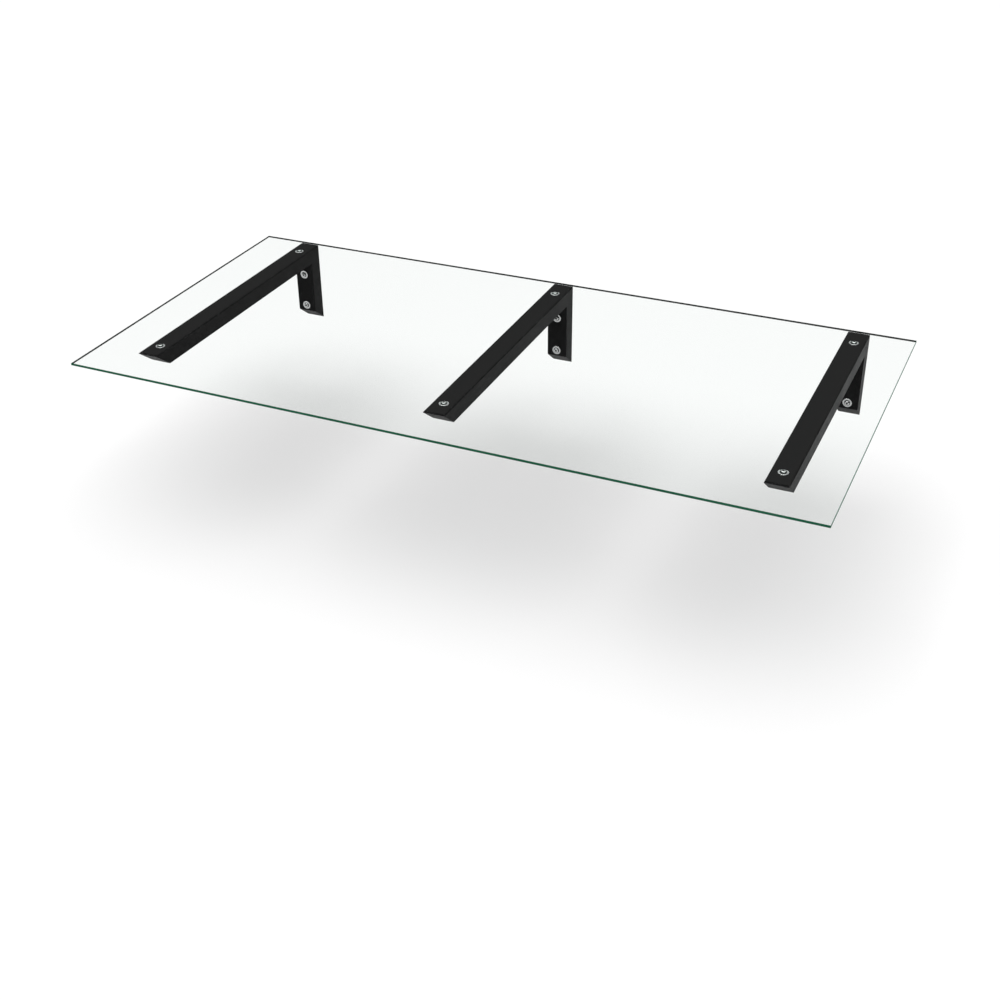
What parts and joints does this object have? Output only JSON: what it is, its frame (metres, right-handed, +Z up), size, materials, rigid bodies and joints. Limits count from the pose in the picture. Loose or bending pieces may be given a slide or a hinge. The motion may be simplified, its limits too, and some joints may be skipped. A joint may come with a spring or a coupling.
{
  "type": "wall shelf with brackets",
  "caption": "Clear glass wall shelf on slim black L-shaped brackets, held by silver button-head screws.",
  "frame": {"origin": "on the back face of the middle leg, halfway between its two wall screws", "axes": "+X to the right of a person facing the wall, +Y into the wall, +Z up"},
  "size_m": [1.5, 0.762, 0.187],
  "materials": {
    "clear_glass": "polished, with ground green edges",
    "black_powder_coat": "fine matte powder coat",
    "stainless_steel": "satin, lightly turned",
    "zinc_steel": "zinc plated",
    "black_rubber": "matte",
    "black_nylon": "satin moulded"
  },
  "bodies": {
    "root": {"glass_pane": "clear_glass", "left_arm_end_plate": "black_powder_coat", "left_arm_tube": "black_powder_coat", "left_front_glass_bush": "black_nylon", "left_front_glass_screw": "stainless_steel", "left_front_support_washer": "stainless_steel", "left_front_thread_bush": "zinc_steel", "left_gasket_strip": "black_rubber", "left_leg_end_plate": "black_powder_coat", "left_leg_tube": "black_powder_coat", "left_lower_crush_sleeve": "zinc_steel", "left_lower_wall_screw": "stainless_steel", "left_lower_wall_washer": "stainless_steel", "left_rear_glass_bush": "black_nylon", "left_rear_glass_screw": "stainless_steel", "left_rear_support_washer": "stainless_steel", "left_rear_thread_bush": "zinc_steel", "left_upper_crush_sleeve": "zinc_steel", "left_upper_wall_screw": "stainless_steel", "left_upper_wall_washer": "stainless_steel", "middle_arm_end_plate": "black_powder_coat", "middle_arm_tube": "black_powder_coat", "middle_front_glass_bush": "black_nylon", "middle_front_glass_screw": "stainless_steel", "middle_front_support_washer": "stainless_steel", "middle_front_thread_bush": "zinc_steel", "middle_gasket_strip": "black_rubber", "middle_leg_end_plate": "black_powder_coat", "middle_leg_tube": "black_powder_coat", "middle_lower_crush_sleeve": "zinc_steel", "middle_lower_wall_screw": "stainless_steel", "middle_lower_wall_washer": "stainless_steel", "middle_rear_glass_bush": "black_nylon", "middle_rear_glass_screw": "stainless_steel", "middle_rear_support_washer": "stainless_steel", "middle_rear_thread_bush": "zinc_steel", "middle_upper_crush_sleeve": "zinc_steel", "middle_upper_wall_screw": "stainless_steel", "middle_upper_wall_washer": "stainless_steel", "right_arm_end_plate": "black_powder_coat", "right_arm_tube": "black_powder_coat", "right_front_glass_bush": "black_nylon", "right_front_glass_screw": "stainless_steel", "right_front_support_washer": "stainless_steel", "right_front_thread_bush": "zinc_steel", "right_gasket_strip": "black_rubber", "right_leg_end_plate": "black_powder_coat", "right_leg_tube": "black_powder_coat", "right_lower_crush_sleeve": "zinc_steel", "right_lower_wall_screw": "stainless_steel", "right_lower_wall_washer": "stainless_steel", "right_rear_glass_bush": "black_nylon", "right_rear_glass_screw": "stainless_steel", "right_rear_support_washer": "stainless_steel", "right_rear_thread_bush": "zinc_steel", "right_upper_crush_sleeve": "zinc_steel", "right_upper_wall_screw": "stainless_steel", "right_upper_wall_washer": "stainless_steel"}
  },
  "joints": []
}
